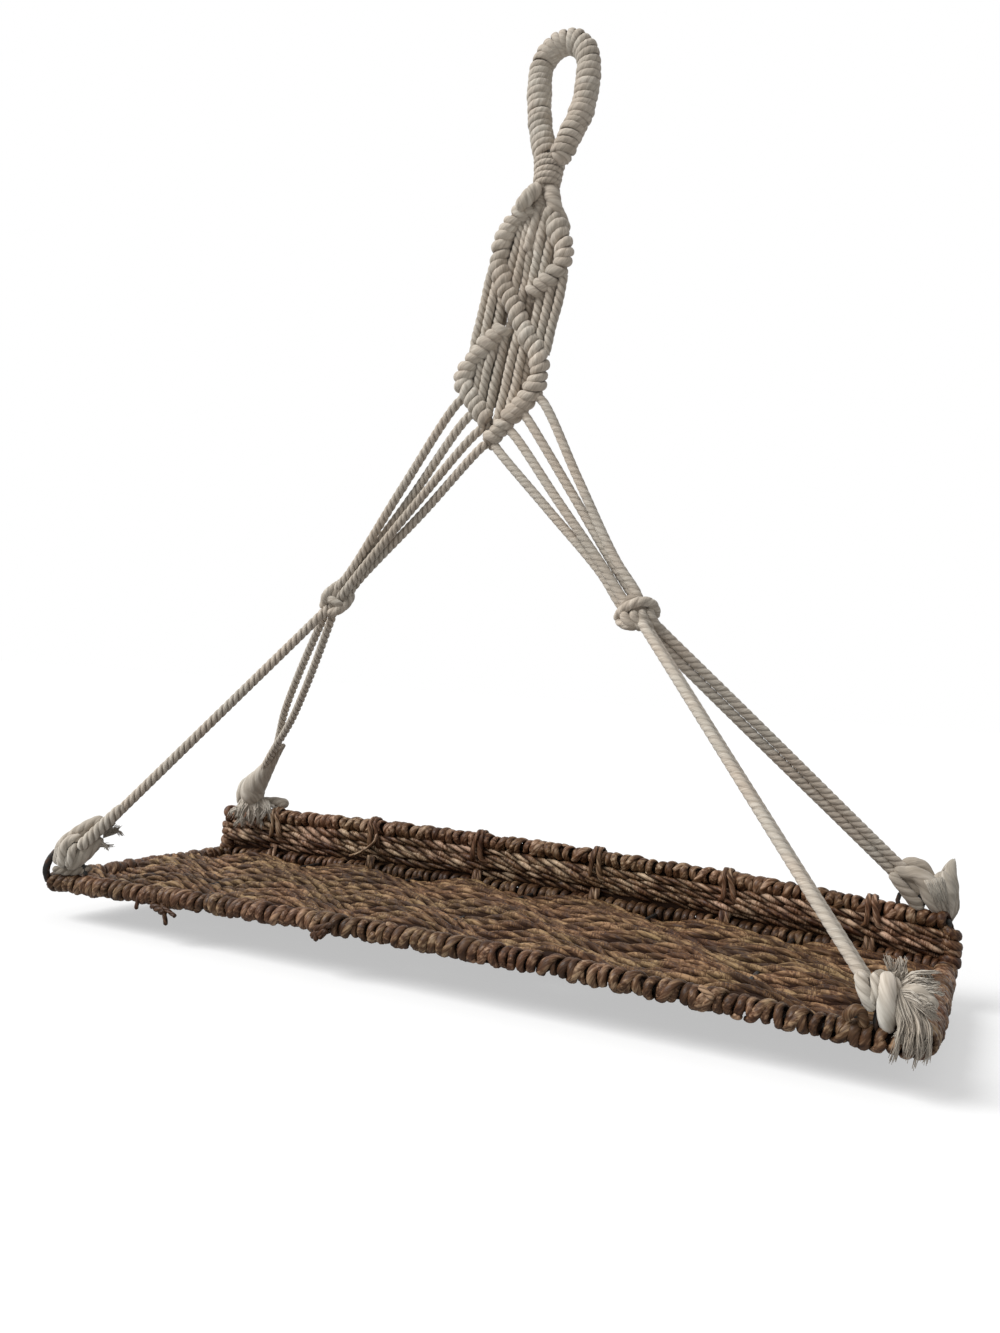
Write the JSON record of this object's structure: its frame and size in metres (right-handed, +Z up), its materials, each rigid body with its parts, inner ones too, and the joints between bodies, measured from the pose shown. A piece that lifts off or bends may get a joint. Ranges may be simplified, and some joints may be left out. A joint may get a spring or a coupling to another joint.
{
  "type": "hanging rope shelf",
  "caption": "Hanging shelf: a woven seagrass tray with a raised back lip, slung on cotton cords from a knotted rope panel and one wrapped hanging loop.",
  "frame": {"origin": "inside top of the hanging loop, where the hook carries the shelf", "axes": "+X along the tray to the right, +Y from the front rim to the raised back lip, +Z up"},
  "size_m": [0.5982, 0.2324, 0.6328],
  "materials": {
    "panel_cotton": "matte",
    "sling_cotton": "matte",
    "knot_cotton": "matte",
    "seagrass_floor": "matte",
    "seagrass_rim": "matte",
    "seagrass_lip": "matte",
    "dark_steel": "satin"
  },
  "bodies": {
    "hanging_loop": {"loop_core": "panel_cotton", "loop_winding": "panel_cotton", "neck_wrap": "panel_cotton"},
    "crown": {"crown_knot": "panel_cotton"},
    "sling": {"left_hitch_row": "panel_cotton", "right_upper_hitch_row": "panel_cotton", "left_lower_hitch_row": "panel_cotton", "upper_diamond_cord_1": "panel_cotton", "upper_diamond_cord_2": "panel_cotton", "upper_diamond_cord_3": "panel_cotton", "upper_diamond_cord_4": "panel_cotton", "upper_diamond_cord_5": "panel_cotton", "left_side_cord_1": "panel_cotton", "left_side_cord_2": "panel_cotton", "left_side_cord_3": "panel_cotton", "right_side_cord_1": "panel_cotton", "right_side_cord_2": "panel_cotton", "right_side_cord_3": "panel_cotton", "lower_diamond_cord_1": "panel_cotton", "lower_diamond_cord_2": "panel_cotton", "lower_diamond_cord_3": "panel_cotton", "lower_diamond_cord_4": "panel_cotton", "lower_diamond_cord_5": "panel_cotton", "left_sling_cord_1": "sling_cotton", "left_sling_cord_2": "sling_cotton", "left_sling_cord_3": "sling_cotton", "left_sling_cord_4": "sling_cotton", "right_sling_cord_1": "sling_cotton", "right_sling_cord_2": "sling_cotton", "right_sling_cord_3": "sling_cotton", "right_sling_cord_4": "sling_cotton", "left_gather_knot": "sling_cotton", "right_gather_knot": "sling_cotton"},
    "tray": {"front_left_cord_1": "sling_cotton", "front_left_cord_2": "sling_cotton", "back_left_cord_1": "sling_cotton", "back_left_cord_2": "sling_cotton", "front_right_cord_1": "sling_cotton", "front_right_cord_2": "sling_cotton", "back_right_cord_1": "sling_cotton", "back_right_cord_2": "sling_cotton", "front_left_corner_knot": "knot_cotton", "front_right_corner_knot": "knot_cotton", "back_left_corner_knot": "knot_cotton", "back_right_corner_knot": "knot_cotton", "wire_frame": "dark_steel", "front_rim_wrap": "seagrass_rim", "back_rim_wrap": "seagrass_rim", "left_rim_wrap": "seagrass_rim", "right_rim_wrap": "seagrass_rim", "lip_rim_wrap": "seagrass_lip", "lip_rope_1": "seagrass_lip", "lip_rope_2": "seagrass_lip", "lip_binding_1": "seagrass_lip", "lip_binding_2": "seagrass_lip", "lip_binding_3": "seagrass_lip", "lip_binding_4": "seagrass_lip", "lip_binding_5": "seagrass_lip", "lip_binding_6": "seagrass_lip", "woven_floor": "seagrass_floor"}
  },
  "joints": [
    {"name": "neck_swivel", "type": "hinge", "parent": "hanging_loop", "child": "crown", "pos_m": [-0.00949, 0, -0.1018], "axis": [0, 0, 1], "range_deg": [-90, 90]},
    {"name": "sling_swing", "type": "hinge", "parent": "crown", "child": "sling", "pos_m": [-0.00949, 0, -0.1018], "axis": [1, 0, 0], "range_deg": [-20, 20]},
    {"name": "tray_tip", "type": "hinge", "parent": "sling", "child": "tray", "pos_m": [-0.03899, 0, -0.389], "axis": [1, 0, 0], "range_deg": [-20, 20]}
  ]
}
